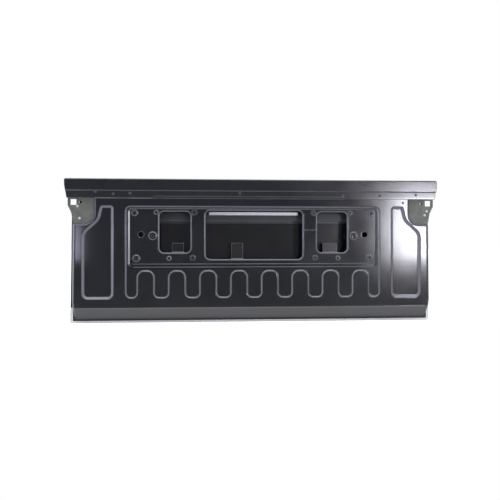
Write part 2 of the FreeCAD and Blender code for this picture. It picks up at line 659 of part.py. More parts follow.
def skin_block(shift):
    """Filled block behind one side of the skin, with its raised fields."""
    outer = panel_depth + gauge - shift
    corners = skin_corners()
    inset = [shift] * len(corners)
    block = prism(moved_corners(corners, inset), skin_radii(value("Sizes.skin_corner") - shift),
                  panel_depth - 2 * gauge + shift, outer)
    depth = value("Sizes.skin_field_depth")
    run = value("Sizes.skin_field_run")
    margin = value("Sizes.skin_field_margin")
    corner = value("Sizes.skin_field_corner")
    field = drafted(field_corners(value(seam_level), margin), [corner] * 4, [run] * 4, outer, depth)
    step = value("Sizes.skin_lower_depth")
    lower = field_corners(value(centre_top) - value("Sizes.skin_lower_drop"), margin + 2 * run)
    block = block.fuse([field, drafted(lower, [corner] * 4, [run] * 4, outer + depth, step)]).removeSplitter()
    if shift > 0:
        return block
    bends = []
    for level in (outer, outer + depth, outer + depth + step):
        bends += flat_edges(block, level, value(face_half) - BEHIND, BEHIND, value(seam_level) + LEAD)
    return block.makeFillet(value("Sizes.skin_bend"), bends)


def make_outer_skin():
    """Skin sheet with its raised fields, its hem round the lower and side edges and its top flange."""
    corners = skin_corners()
    side_lip = value("Sizes.hem_lip")
    lips = [0, 0, 0, 0, side_lip, value("Sizes.hem_bottom_lip"), side_lip, 0, 0, 0, 0, 0]
    lips = [lip if lip else gauge for lip in lips]
    radius = value("Sizes.skin_corner") / 2
    inner = prism(moved_corners(corners, lips), skin_radii(radius), panel_depth - 3 * gauge, panel_depth)
    reach = value(rail_half) + BEHIND
    notch_low = value(seam_level) - value("Sizes.skin_notch_foot")
    above = value(gate_top) + BEHIND
    front = box(-reach, reach, 0, panel_depth, notch_low, above)
    skin = skin_block(0).cut([skin_block(gauge), inner, front])
    half = value(rail_half) - value("Sizes.skin_top_inset")
    flange_top = value(gate_top) - gauge
    flange = box(-half, half, panel_depth - value("Sizes.skin_top_flange"), panel_depth + gauge,
                 flange_top - gauge, flange_top)
    return skin.fuse(flange).removeSplitter()


# Sub-parts

parts = []


def publish(item, name):
    """List a finished sub-part and place it so that the left hinge seat lies at the origin."""
    item.Label = name
    item.setExpression("Placement.Base.x", seat_plane)
    item.setExpression("Placement.Base.y", f"-{seat_middle_depth}")
    item.setExpression("Placement.Base.z", f"-{seat_middle_level}")
    parts.append(item)


def pressed_part(name, shape):
    item = doc.addObject("Part::Feature", name)
    item.Shape = shape
    publish(item, name)


def new_sketch(body, name, role, offset):
    """Empty sketch in a plane of the body, moved along that plane's normal by the offset."""
    sketch = body.newObject("Sketcher::SketchObject", name)
    plane = [feature for feature in body.Origin.OriginFeatures if feature.Role == role][0]
    sketch.AttachmentSupport = [(plane, "")]
    sketch.MapMode = "FlatFace"
    sketch.setExpression("AttachmentOffset.Base.z", offset)
    return sketch


def add_outline(sketch, corners):
    """Closed outline whose corners are pairs of expressions, each bound to the sketch's origin."""
    places = [(value(across), value(up)) for across, up in corners]
    count = len(corners)
    first = sketch.GeometryCount
    for index in range(count):
        start = FreeCAD.Vector(*places[index], 0)
        finish = FreeCAD.Vector(*places[(index + 1) % count], 0)
        sketch.addGeometry(Part.LineSegment(start, finish))
    for index in range(count):
        following = first + (index + 1) % count
        sketch.addConstraint(Sketcher.Constraint("Coincident", first + index, 2, following, 1))
    for index, (across, up) in enumerate(corners):
        line = first + index
        number = sketch.addConstraint(Sketcher.Constraint("DistanceX", -1, 1, line, 1, places[index][0]))
        sketch.setExpression(f"Constraints[{number}]", across)
        number = sketch.addConstraint(Sketcher.Constraint("DistanceY", -1, 1, line, 1, places[index][1]))
        sketch.setExpression(f"Constraints[{number}]", up)


def add_circle(sketch, across, up, radius):
    """Circle bound to expressions for its centre and radius."""
    centre = FreeCAD.Vector(value(across), value(up), 0)
    line = sketch.addGeometry(Part.Circle(centre, FreeCAD.Vector(0, 0, 1), value(radius)))
    number = sketch.addConstraint(Sketcher.Constraint("DistanceX", -1, 1, line, 3, centre.x))
    sketch.setExpression(f"Constraints[{number}]", across)
    number = sketch.addConstraint(Sketcher.Constraint("DistanceY", -1, 1, line, 3, centre.y))
    sketch.setExpression(f"Constraints[{number}]", up)
    number = sketch.addConstraint(Sketcher.Constraint("Radius", line, value(radius)))
    sketch.setExpression(f"Constraints[{number}]", radius)


def add_feature(body, kind, name, sketch, length, reverse=False, midplane=False):
    """Pad or pocket of a sketch by a length."""
    feature = body.newObject(f"PartDesign::{kind}", name)
    feature.Profile = sketch
    feature.setExpression("Length", length)
    feature.Reversed = reverse
    feature.Midplane = midplane
    doc.recompute()
    return feature


def round_edges(body, name, base, chosen, radius):
    """Fillet of the edges that the test picks out."""
    names = [f"Edge{number}" for number, edge in enumerate(base.Shape.Edges, start=1) if chosen(edge)]
    fillet = body.newObject("PartDesign::Fillet", name)
    fillet.Base = (base, names)
    fillet.setExpression("Radius", radius)
    doc.recompute()
    return fillet


def along_x_at(places):
    """Test for edges along X that pass through one of the given points of the YZ plane."""
    def chosen(edge):
        start, finish = edge.Vertexes[0].Point, edge.Vertexes[-1].Point
        along = abs(start.y - finish.y) < NEAR and abs(start.z - finish.z) < NEAR
        return along and any(abs(start.y - y) < NEAR and abs(start.z - z) < NEAR for y, z in places)
    return chosen


def make_top_rail():
    """Folded rail: flange on the face, band, upright face and top, its ends running in downwards."""
    body = doc.addObject("PartDesign::Body", "TopRail")
    front = "-Sizes.rail_projection"
    back = "(Sizes.rail_top_depth - Sizes.rail_projection)"
    inner_front = "(Sizes.sheet_gauge - Sizes.rail_projection)"
    under_top = f"({gate_top} - Sizes.sheet_gauge)"
    over_crease = f"({rail_crease} + Sizes.sheet_gauge)"
    section = new_sketch(body, "RailSection", "YZ_Plane", "0")
    add_outline(section, [
        ("-Sizes.sheet_gauge", seam_level), ("-Sizes.sheet_gauge", band_top),
        ("-Sizes.sheet_gauge - Sizes.rail_step", rail_crease), (front, rail_crease), (front, gate_top),
        (back, gate_top), (back, under_top), (inner_front, under_top), (inner_front, over_crease),
        ("-Sizes.rail_step", over_crease), ("0", band_top), ("0", seam_level)])
    pad = add_feature(body, "Pad", "RailLength", section, f"2 * {rail_half}", midplane=True)
    outer = round_edges(body, "OuterTopBend", pad, along_x_at([(value(front), value(gate_top))]),
                        "Sizes.rail_bend")
    inner = round_edges(body, "InnerTopBend", outer, along_x_at([(value(inner_front), value(under_top))]),
                        "Sizes.rail_bend - Sizes.sheet_gauge")
    outer = round_edges(body, "OuterCreaseBend", inner, along_x_at([(value(front), value(rail_crease))]),
                        "Sizes.rail_crease_bend")
    round_edges(body, "InnerCreaseBend", outer, along_x_at([(value(inner_front), value(over_crease))]),
                "Sizes.rail_crease_bend - Sizes.sheet_gauge")
    taper = new_sketch(body, "EndTapers", "XZ_Plane", "0")
    start_level = f"({rail_crease} + Sizes.rail_taper_height)"
    below = f"({seam_level} - Sizes.seam_flange)"
    above = f"({gate_top} + Sizes.rail_corner)"
    beyond = f"({rail_half} + Sizes.rail_taper)"
    for sign in ("", "-"):
        add_outline(taper, [
            (f"{sign}{rail_half}", f"({gate_top} - Sizes.rail_corner)"), (f"{sign}{rail_half}", start_level),
            (f"{sign}({rail_half} - Sizes.rail_taper)", below), (f"{sign}{beyond}", below),
            (f"{sign}{beyond}", above), (f"{sign}({rail_half} - 2 * Sizes.rail_corner)", above)])
    add_feature(body, "Pocket", "TaperCut", taper, "4 * Sizes.panel_depth", midplane=True)
    publish(body, "top_rail")


def bound_box(name, x_low, x_high, y_low, y_high, z_low, z_high):
    """Box between three pairs of expressions."""
    item = doc.addObject("Part::Box", name)
    item.setExpression("Length", f"({x_high}) - ({x_low})")
    item.setExpression("Width", f"({y_high}) - ({y_low})")
    item.setExpression("Height", f"({z_high}) - ({z_low})")
    item.setExpression("Placement.Base.x", x_low)
    item.setExpression("Placement.Base.y", y_low)
    item.setExpression("Placement.Base.z", z_low)
    return item


def fused(name, items):
    item = doc.addObject("Part::MultiFuse", name)
    item.Shapes = items
    item.Refine = True
    return item


def cut_from(name, base, tool):
    item = doc.addObject("Part::Cut", name)
    item.Base = base
    item.Tool = tool
    return item


def span(side, near, far):
    """Low and high ends along X of a piece that lies between two distances on one side."""
    if side > 0:
        return near, far
    return f"-({far})", f"-({near})"


def make_rail_end(side, word):
    """Closing plate a little inside the open end of the rail, with a flange on the back of its face."""
    outer = f"({rail_half} - Sizes.rail_end_inset)"
    plate_low, plate_high = span(side, f"{outer} - Sizes.latch_gauge", outer)
    flange_low, flange_high = span(side, f"{outer} - Sizes.rail_end_flange", outer)
    front = "(Sizes.sheet_gauge - Sizes.rail_projection)"
    top = f"({gate_top} - 2 * Sizes.sheet_gauge)"
    low = f"({gate_top} - Sizes.rail_end_height)"
    plate = bound_box(f"RailEndPlate{word}", plate_low, plate_high, front, f"{front} + Sizes.rail_end_reach",
                      low, top)
    flange = bound_box(f"RailEndFlange{word}", flange_low, flange_high, front,
                       f"{front} + Sizes.latch_gauge", low, f"{gate_top} - Sizes.rail_bend - Sizes.sheet_gauge")
    publish(fused(f"RailEnd{word}", [plate, flange]), f"rail_end_{word}")


def make_latch_plate(side, word):
    """Plate in the latch pocket with a turned edge along its wing, a square and a round hole."""
    sign = "" if side > 0 else "-"
    inner = (f"({face_half} - Sizes.latch_pocket_width + Sizes.latch_pocket_run"
             " + Sizes.latch_clearance)")
    low = (f"({seam_level} - Sizes.latch_pocket_height + Sizes.latch_pocket_run"
           " + Sizes.latch_clearance)")
    high = f"({band_top} + Sizes.latch_lap)"
    foot = f"({face_half} - Sizes.waist_inset)"
    wing = f"({face_half} + Sizes.latch_wing)"
    elbow = f"({wing} - Sizes.latch_wing_slope)"
    wing_low = f"({seam_level} - Sizes.latch_wing_level)"
    elbow_level = f"({seam_level} - Sizes.latch_wing_height)"
    front = "(Sizes.latch_pocket_depth - Sizes.latch_gauge)"
    body = doc.addObject("PartDesign::Body", f"LatchPlate{word}")
    plate = new_sketch(body, "Plate", "XZ_Plane", f"-{front}")
    add_outline(plate, [
        (sign + inner, low), (sign + foot, low), (sign + elbow, elbow_level), (sign + wing, wing_low),
        (sign + wing, high), (sign + inner, high)])
    pad = add_feature(body, "Pad", "PlatePad", plate, "Sizes.latch_gauge", reverse=True)
    edge = new_sketch(body, "WingEdge", "XZ_Plane", f"-{front}")
    back = "Sizes.latch_gauge"
    add_outline(edge, [
        (sign + elbow, elbow_level), (sign + wing, wing_low), (sign + wing, high),
        (f"{sign}({wing} - {back})", high), (f"{sign}({wing} - {back})", wing_low),
        (f"{sign}({elbow} - {back})", elbow_level)])
    pad = add_feature(body, "Pad", "WingPad", edge, "Sizes.latch_wing_lip", reverse=True)
    holes = new_sketch(body, "LatchHoles", "XZ_Plane", f"-{front}")
    half = "Sizes.striker_width / 2"
    near, far = f"{sign}({striker_half} - {half})", f"{sign}({striker_half} + {half})"
    below, above = f"({striker_level} - {half})", f"({striker_level} + {half})"
    add_outline(holes, [(near, below), (far, below), (far, above), (near, above)])
    add_circle(holes, f"{sign}({striker_half} - Sizes.rod_hole_offset)", striker_level, "Sizes.rod_hole / 2")
    cut = add_feature(body, "Pocket", "LatchHoleCut", holes, "3 * Sizes.latch_gauge", midplane=True)
    corner = (side * value(inner), value(low))
    round_edges(body, "InnerCorner", cut,
                lambda edge: abs(edge.BoundBox.YLength - value("Sizes.latch_gauge")) < NEAR
                and math.hypot(edge.CenterOfMass.x - corner[0], edge.CenterOfMass.z - corner[1]) < LEAD,
                "Sizes.latch_pocket_corner - Sizes.latch_pocket_run - Sizes.latch_clearance")
    publish(body, f"latch_plate_{word}")


stiffener_top = f"({centre_top} - Sizes.stiffener_drop)"
stiffener_low = f"({stiffener_top} - Sizes.stiffener_web)"
stiffener_front = f"({skin_face} - Sizes.stiffener_depth)"
stiffener_crest = f"({stiffener_front} + Sizes.stiffener_lean)"


def make_stiffener():
    """Hat section bonded to the inside of the skin, seen through all three openings."""
    body = doc.addObject("PartDesign::Body", "CrossStiffener")
    section = new_sketch(body, "HatSection", "YZ_Plane", "0")
    flange_front = f"({skin_face} - Sizes.sheet_gauge)"
    web_low = f"({stiffener_front} + Sizes.sheet_gauge)"
    web_high = f"({stiffener_crest} + Sizes.sheet_gauge)"
    add_outline(section, [
        (flange_front, f"{stiffener_low} - Sizes.stiffener_flange"), (flange_front, stiffener_low),
        (stiffener_front, stiffener_low), (stiffener_crest, stiffener_top), (flange_front, stiffener_top),
        (flange_front, f"{stiffener_top} + Sizes.stiffener_flange"),
        (skin_face, f"{stiffener_top} + Sizes.stiffener_flange"),
        (skin_face, f"{stiffener_top} - Sizes.sheet_gauge"), (web_high, f"{stiffener_top} - Sizes.sheet_gauge"),
        (web_low, f"{stiffener_low} + Sizes.sheet_gauge"), (skin_face, f"{stiffener_low} + Sizes.sheet_gauge"),
        (skin_face, f"{stiffener_low} - Sizes.stiffener_flange")])
    pad = add_feature(body, "Pad", "HatLength", section, "2 * Sizes.stiffener_half", midplane=True)
    bends = [(value(stiffener_front), value(stiffener_low)), (value(stiffener_crest), value(stiffener_top))]
    round_edges(body, "HatBends", pad, along_x_at(bends), "Sizes.stiffener_bend")
    publish(body, "cross_stiffener")


def make_handle_bar():
    """Angle along the stiffener: a shelf on its top and a leg that slants down in front of it."""
    body = doc.addObject("PartDesign::Body", "HandleBar")
    section = new_sketch(body, "HandleBarSection", "YZ_Plane", "0")
    front = f"({stiffener_crest} - Sizes.handle_bar_reach)"
    back = f"({stiffener_crest} + Sizes.handle_bar_shelf)"
    upper = f"({stiffener_top} + Sizes.sheet_gauge)"
    low = f"({upper} - Sizes.handle_bar_height)"
    add_outline(section, [
        (front, low), (front, f"({low} - Sizes.sheet_gauge)"),
        (f"({stiffener_crest})", stiffener_top), (back, stiffener_top), (back, upper), (stiffener_crest, upper)])
    add_feature(body, "Pad", "HandleBarLength", section, "2 * Sizes.handle_bar_half", midplane=True)
    publish(body, "handle_reinforcement")


def make_bracket(word, x_low, width, floor):
    """Bracket that stands on the lower lip of an opening: foot, upright and folded top."""
    x_high = f"{x_low} + {width}"
    front = f"({plate_face} + Sizes.lip_bend + Sizes.bracket_set_back)"
    back = f"({front} + Sizes.bracket_reach)"
    top = f"({centre_bottom} + Sizes.bracket_rise)"
    foot = bound_box(f"BracketFoot{word}", x_low, x_high, front, back, floor, f"{floor} + Sizes.bracket_gauge")
    upright = bound_box(f"BracketUpright{word}", x_low, x_high, f"{back} - Sizes.bracket_gauge", back, floor, top)
    fold = bound_box(f"BracketFold{word}", x_low, x_high, f"{back} - Sizes.bracket_gauge",
                     f"{back} + Sizes.bracket_return", f"{top} - Sizes.bracket_gauge", top)
    publish(fused(f"Bracket{word}", [foot, upright, fold]), f"support_bracket_{word}")


def bound_cylinder(name, radius, height, x, y, z, axis, angle):
    """Round bar turned about an axis, between expressions."""
    item = doc.addObject("Part::Cylinder", name)
    item.setExpression("Radius", radius)
    item.setExpression("Height", height)
    item.Placement = FreeCAD.Placement(FreeCAD.Vector(0, 0, 0), FreeCAD.Rotation(axis, angle))
    item.setExpression("Placement.Base.x", x)
    item.setExpression("Placement.Base.y", y)
    item.setExpression("Placement.Base.z", z)
    return item


def make_seat_plate(side, word):
    """Thick plate behind the hinge seat with two bolt holes."""
    outer = f"({seat_plane} - Sizes.sheet_gauge)"
    low, high = span(side, f"{outer} - Sizes.seat_plate", outer)
    margin = "Sizes.seat_plate_margin"
    plate = bound_box(f"SeatPlateBlank{word}", low, high, f"Sizes.seat_front + {margin}",
                      f"Sizes.seat_front + Sizes.seat_width - {margin}", f"{seat_low} + {margin}",
                      f"{seat_low} + Sizes.seat_height - {margin}")
    for end, sign in (("Low", "-"), ("High", "+")):
        hole = bound_cylinder(f"SeatHole{end}{word}", "Sizes.seat_bolt_hole / 2", "3 * Sizes.seat_plate",
                              f"{low} - Sizes.seat_plate", seat_middle_depth,
                              f"{seat_middle_level} {sign} Sizes.seat_bolt_pitch / 2",
                              FreeCAD.Vector(0, 1, 0), 90)
        plate = cut_from(f"SeatPlate{end}{word}", plate, hole)
    publish(plate, f"hinge_plate_{word}")


def prism_along_y(name, sides, radius, height, x, y, z):
    """Prism whose corners lie on the level and upright lines through its axis, pointing along Y."""
    item = doc.addObject("Part::Prism", name)
    item.Polygon = sides
    item.setExpression("Circumradius", radius)
    item.setExpression("Height", height)
    item.Placement = FreeCAD.Placement(FreeCAD.Vector(0, 0, 0), FreeCAD.Rotation(FreeCAD.Vector(1, 0, 0), -90))
    item.setExpression("Placement.Base.x", x)
    item.setExpression("Placement.Base.y", y)
    item.setExpression("Placement.Base.z", z)
    return item


ring_front = f"({plate_face} - Sizes.boss_height)"
ring_back = f"({plate_face} + Sizes.sheet_gauge)"


def make_weld_nut(side, word, row, across, level):
    """Hexagonal nut welded behind a raised ring."""
    x = across if side > 0 else f"-{across}"
    name = f"WeldNut{row}{word}"
    blank = prism_along_y(f"{name}Blank", 6, "Sizes.nut_width / 2", "Sizes.nut_height", x, ring_back, level)
    bore = bound_cylinder(f"{name}Bore", "Sizes.nut_bore / 2", "3 * Sizes.nut_height", x,
                          f"{ring_back} - Sizes.nut_height", level, FreeCAD.Vector(1, 0, 0), -90)
    publish(cut_from(name, blank, bore), f"weld_nut_{row}_{word}")


def make_insert(side, word, row, across, level):
    """Square insert pushed through the sheet, its head standing on one corner."""
    x = across if side > 0 else f"-{across}"
    name = f"Insert{row}{word}"
    head = prism_along_y(f"{name}Head", 4, "Sizes.insert_head / sqrt(2)", "Sizes.insert_head_gauge", x,
                         f"{ring_front} - Sizes.insert_head_gauge", level)
    body = prism_along_y(f"{name}Body", 4, "(Sizes.square_hole - 2 * Sizes.insert_clearance) / sqrt(2)",
                         "Sizes.insert_head_gauge + Sizes.insert_depth", x,
                         f"{ring_front} - Sizes.insert_head_gauge", level)
    bore = bound_cylinder(f"{name}Bore", "Sizes.insert_bore / 2", "3 * Sizes.insert_depth", x,
                          f"{ring_front} - Sizes.insert_depth", level, FreeCAD.Vector(1, 0, 0), -90)
    publish(cut_from(name, fused(f"{name}Blank", [head, body]), bore), f"square_insert_{row}_{word}")


def make_sealer():
    """Bead of sealer on the folded hem, turned up at both lower corners."""
    outer = f"({face_half} + Sizes.skin_foot - Sizes.sealer_inset)"
    inner = f"({outer} - Sizes.sealer_width)"
    body = doc.addObject("PartDesign::Body", "HemSealer")
    hem_front = "(Sizes.panel_depth - 2 * Sizes.sheet_gauge)"
    bead = new_sketch(body, "Bead", "XZ_Plane", f"-{hem_front}")
    low = "Sizes.sealer_lift"
    shelf = f"({low} + Sizes.sealer_width)"
    rise = "Sizes.sealer_rise"
    add_outline(bead, [
        (f"-{outer}", rise), (f"-{outer}", low), (outer, low), (outer, rise), (inner, rise), (inner, shelf),
        (f"-{inner}", shelf), (f"-{inner}", rise)])
    add_feature(body, "Pad", "BeadPad", bead, "Sizes.sealer_gauge")
    publish(body, "hem_sealer")


pressed_part("inner_panel", make_inner_panel())
pressed_part("outer_skin", make_outer_skin())
make_top_rail()
make_stiffener()
make_handle_bar()
make_bracket("centre", "(-Sizes.centre_bracket_offset - Sizes.centre_bracket_width / 2)",
             "Sizes.centre_bracket_width", centre_bottom)
make_bracket("left", f"(-{service_inner} - Sizes.side_bracket_offset - Sizes.left_bracket_width)",
             "Sizes.left_bracket_width", service_bottom)
make_bracket("right", f"({service_inner} + Sizes.side_bracket_offset)", "Sizes.right_bracket_width", service_bottom)
for side, word in ((-1, "left"), (1, "right")):
    make_rail_end(side, word)
    make_latch_plate(side, word)
    make_seat_plate(side, word)
    for row, (across, level, ring) in ROUND_RINGS.items():
        make_weld_nut(side, word, row, across, level)
    for row, (across, level) in SQUARE_RINGS.items():
        make_insert(side, word, row, across, level)
make_sealer()

doc.recompute()
failed = [item.Label for item in doc.Objects if {"Invalid", "Error"} & set(item.State)]
broken = [item.Label for item in parts if item.Shape.isNull() or not item.Shape.isValid()]
if failed or broken:
    raise RuntimeError(f"failed objects: {failed}, broken shapes: {broken}")

os.makedirs("parts", exist_ok=True)
for item in parts:
    item.Shape.exportStep(f"parts/{item.Label}.step")
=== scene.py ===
"""Tailgate shell of a pickup truck: the looks of its pressed, dipped and baked steel.

The sections follow the order in which the gate is put together, from the outer skin to the top rail.
"""

import math

import bmesh
import bpy
from mathutils import Matrix, Vector


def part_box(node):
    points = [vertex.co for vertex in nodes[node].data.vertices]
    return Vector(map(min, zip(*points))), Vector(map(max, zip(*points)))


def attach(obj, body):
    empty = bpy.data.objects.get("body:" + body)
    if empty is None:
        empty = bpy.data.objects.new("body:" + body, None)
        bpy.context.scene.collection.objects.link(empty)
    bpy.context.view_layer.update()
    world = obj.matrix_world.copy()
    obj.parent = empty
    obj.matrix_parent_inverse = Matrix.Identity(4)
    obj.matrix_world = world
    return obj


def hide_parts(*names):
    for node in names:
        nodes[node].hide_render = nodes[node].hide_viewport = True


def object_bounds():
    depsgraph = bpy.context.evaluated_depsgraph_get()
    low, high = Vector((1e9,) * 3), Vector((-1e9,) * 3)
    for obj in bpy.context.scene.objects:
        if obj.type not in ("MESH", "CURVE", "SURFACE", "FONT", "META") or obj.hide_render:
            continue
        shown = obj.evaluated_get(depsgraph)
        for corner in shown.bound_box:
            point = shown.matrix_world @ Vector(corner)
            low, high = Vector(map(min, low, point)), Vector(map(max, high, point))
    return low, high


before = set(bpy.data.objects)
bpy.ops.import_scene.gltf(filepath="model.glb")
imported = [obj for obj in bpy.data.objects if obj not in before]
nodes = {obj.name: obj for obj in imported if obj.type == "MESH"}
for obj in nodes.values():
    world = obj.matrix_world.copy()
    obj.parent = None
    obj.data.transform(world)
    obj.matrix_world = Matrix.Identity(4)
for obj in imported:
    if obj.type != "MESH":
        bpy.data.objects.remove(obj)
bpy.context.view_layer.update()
MM = 0.001

# Outer skin
# A sheet of deep-drawn steel about 0.8 mm thick. It goes through the electrocoat bath with the rest of
# the shell, so it comes out an even satin black, with dust and faint clouds in its tone.


def colour(code):
    """Linear colour of an sRGB hex value."""
    parts = [int(code[start:start + 2], 16) / 255 for start in (1, 3, 5)]
    return [part / 12.92 if part <= 0.04045 else ((part + 0.055) / 1.055) ** 2.4 for part in parts] + [1.0]


def every(spacing):
    """Scale of a pattern whose marks lie this many millimetres apart."""
    return 1000 / spacing


def add(material, kind, settings=None, links=None):
    """Adds a node to the material with its settings and the sockets that feed it."""
    node = material.node_tree.nodes.new("ShaderNode" + kind)
    for name, value in (settings or {}).items():
        if isinstance(name, str) and hasattr(node, name):
            setattr(node, name, value)
        else:
            node.inputs[name].default_value = value
    for name, socket in (links or {}).items():
        material.node_tree.links.new(socket, node.inputs[name])
    return node


def new_material(name):
    """Empty material with its output node and object coordinates."""
    material = bpy.data.materials.new(name)
    material.use_nodes = True
    material.node_tree.nodes.clear()
    return material, add(material, "TexCoord").outputs["Object"]


# Sockets of a Mix node that mixes colours: its factor, its two colours and its result
FACTOR, FIRST, SECOND, MIXED = 0, 6, 7, 2
# Size of |Y| in the direction of a surface that faces the bed squarely, and of one that slopes away
SQUARE, SLOPING = 0.995, 0.8
# Levels of the foot of the panel, in metres, between which the painted highlight on slopes gives way
FOOT_LOW, FOOT_HIGH = -0.04, -0.036


def electrocoat(name, dark, pale, gloss, dust, bend=2.0, bend_highlight="#000000"):
    """Baked black electrocoat: smooth and glossy, with a skin like fine orange peel over uneven sheet.

    It rounds off edges by the given millimetres, and adds the highlight colour on slopes, as a painted
    highlight where bends catch the light.
    """
    material, place = new_material(name)
    cloud = add(material, "TexNoise", {"Scale": every(111), "Detail": 5.0, "Roughness": 0.6},
                {"Vector": place})
    tint = add(material, "ValToRGB", links={"Fac": cloud.outputs["Fac"]})
    tint.color_ramp.elements[0].position = 0.3
    tint.color_ramp.elements[0].color = colour(dark)
    tint.color_ramp.elements[1].position = 0.72
    tint.color_ramp.elements[1].color = colour(pale)
    specks = add(material, "TexNoise", {"Scale": every(2.38), "Detail": 3.0, "Roughness": 0.7},
                 {"Vector": place})
    dusty = add(material, "MapRange", {"From Min": 0.56, "From Max": 0.8, "To Max": dust},
                {"Value": specks.outputs["Fac"]})
    settled = add(material, "Mix", {"data_type": "RGBA", SECOND: colour("#8d8f92")},
                  {FACTOR: dusty.outputs[0], FIRST: tint.outputs["Color"]})
    rounded = add(material, "Bevel", {"samples": 8, "Radius": bend * MM})
    lean = add(material, "SeparateXYZ", links={"Vector": rounded.outputs["Normal"]})
    upright = add(material, "Math", {"operation": "ABSOLUTE"}, {0: lean.outputs["Y"]})
    slope = add(material, "MapRange", {"From Min": SQUARE, "From Max": SLOPING},
                {"Value": upright.outputs[0]})
    lift = add(material, "SeparateXYZ", links={"Vector": place})
    above_foot = add(material, "MapRange",
                     {"From Min": FOOT_LOW, "From Max": FOOT_HIGH, "To Min": 0.15, "To Max": 1.0},
                     {"Value": lift.outputs["Z"]})
    # Painted highlight: the slopes of bends get the highlight colour added, standing in for the light they
    # catch, and only a little of it at the foot of the panel.
    painted_highlight_mask = add(material, "Math", {"operation": "MULTIPLY"},
                {0: slope.outputs[0], 1: above_foot.outputs[0]})
    with_painted_highlight = add(material, "Mix", {"data_type": "RGBA", "blend_type": "ADD", SECOND: colour(bend_highlight)},
                  {FACTOR: painted_highlight_mask.outputs[0], FIRST: settled.outputs[MIXED]})
    smear = add(material, "TexNoise", {"Scale": every(286), "Detail": 6.0, "Roughness": 0.62},
                {"Vector": place})
    matt = add(material, "MapRange",
               {"From Min": 0.35, "From Max": 0.7, "To Min": gloss, "To Max": gloss + 0.09},
               {"Value": smear.outputs["Fac"]})
    duller = add(material, "Math", {"operation": "MULTIPLY_ADD", 1: 0.22},
                 {0: slope.outputs[0], 2: matt.outputs[0]})
    peel = add(material, "TexNoise", {"Scale": every(2.08), "Detail": 2.0}, {"Vector": place})
    sheet = add(material, "TexNoise", {"Scale": every(143), "Detail": 1.0}, {"Vector": place})
    wave = add(material, "Bump", {"Strength": 0.5, "Distance": 1.2 * MM},
               {"Height": sheet.outputs["Fac"], "Normal": rounded.outputs["Normal"]})
    skin = add(material, "Bump", {"Strength": 0.12, "Distance": 0.08 * MM},
               {"Height": peel.outputs["Fac"], "Normal": wave.outputs["Normal"]})
    paint = add(material, "BsdfPrincipled", {"IOR": 1.5},
                {"Base Color": with_painted_highlight.outputs[MIXED], "Roughness": duller.outputs[0],
                 "Normal": skin.outputs["Normal"]})
    add(material, "OutputMaterial", links={"Surface": paint.outputs["BSDF"]})
    return material


def fold_tree(name, folds, target, socket):
    """Modifier tree that acts on the edges where the sheet folds by more and less than two angles."""
    tree = bpy.data.node_groups.new(name, "GeometryNodeTree")
    tree.interface.new_socket("Geometry", in_out="INPUT", socket_type="NodeSocketGeometry")
    tree.interface.new_socket("Geometry", in_out="OUTPUT", socket_type="NodeSocketGeometry")
    enter = tree.nodes.new("NodeGroupInput")
    leave = tree.nodes.new("NodeGroupOutput")
    fold = tree.nodes.new("GeometryNodeInputMeshEdgeAngle")
    above = tree.nodes.new("FunctionNodeCompare")
    above.operation = "GREATER_THAN"
    above.inputs["B"].default_value = math.radians(folds[0])
    below = tree.nodes.new("FunctionNodeCompare")
    below.operation = "LESS_THAN"
    below.inputs["B"].default_value = math.radians(folds[1])
    both = tree.nodes.new("FunctionNodeBooleanMath")
    act = tree.nodes.new(target)
    act.domain = "EDGE"
    tree.links.new(fold.outputs["Unsigned Angle"], above.inputs["A"])
    tree.links.new(fold.outputs["Unsigned Angle"], below.inputs["A"])
    tree.links.new(above.outputs[0], both.inputs[0])
    tree.links.new(below.outputs[0], both.inputs[1])
    tree.links.new(enter.outputs[0], act.inputs["Geometry"])
    tree.links.new(both.outputs[0], act.inputs[socket])
    tree.links.new(act.outputs[0], leave.inputs[0])
    return tree


# Pressed bends fold by 20 to 70 degrees. What folds less is part of a curve, and more is a cut edge.
bend_marks = fold_tree("bend_marks", (20, 70), "GeometryNodeStoreNamedAttribute", "Value")
marking = bend_marks.nodes["Store Named Attribute"]
marking.data_type = "FLOAT"
marking.inputs["Name"].default_value = "bevel_weight_edge"

# All faces are shaded smooth first, and then the edges that fold by more than 32 degrees are made sharp.
smooth_folds = fold_tree("smooth_folds", (-1, 32), "GeometryNodeSetShadeSmooth", "Shade Smooth")
whole = smooth_folds.nodes.new("GeometryNodeSetShadeSmooth")
smooth_folds.links.new(smooth_folds.nodes["Group Input"].outputs[0], whole.inputs["Geometry"])
smooth_folds.links.new(whole.outputs[0], smooth_folds.nodes["Set Shade Smooth"].inputs["Geometry"])


SAME_POINT = 0.02 * MM
SAME_PLANE = math.radians(0.5)


def soft_bends(node_name, radius=0.0):
    """Rounds the pressed bends of a sheet by the radius and lets them catch the light smoothly."""
    piece = nodes[node_name]
    weld = piece.modifiers.new("joined", "WELD")
    weld.merge_threshold = SAME_POINT
    if radius:
        flat = piece.modifiers.new("flat_faces", "DECIMATE")
        flat.decimate_type = "DISSOLVE"
        flat.angle_limit = SAME_PLANE
        piece.modifiers.new("marked_bends", "NODES").node_group = bend_marks
        bend = piece.modifiers.new("bends", "BEVEL")
        bend.limit_method = "WEIGHT"
        bend.width = radius
        bend.segments = 3
    piece.modifiers.new("smooth", "NODES").node_group = smooth_folds
    even = piece.modifiers.new("even_light", "WEIGHTED_NORMAL")
    even.keep_sharp = True


def coat(node_name, material):
    """Gives a node its finish."""
    piece = nodes[node_name]
    piece.data.materials.clear()
    piece.data.materials.append(material)


skin_coat = electrocoat("satin_black_electrocoat", "#08090b", "#0e0f12", 0.16, 0.05)
coat("outer_skin", skin_coat)
soft_bends("outer_skin")
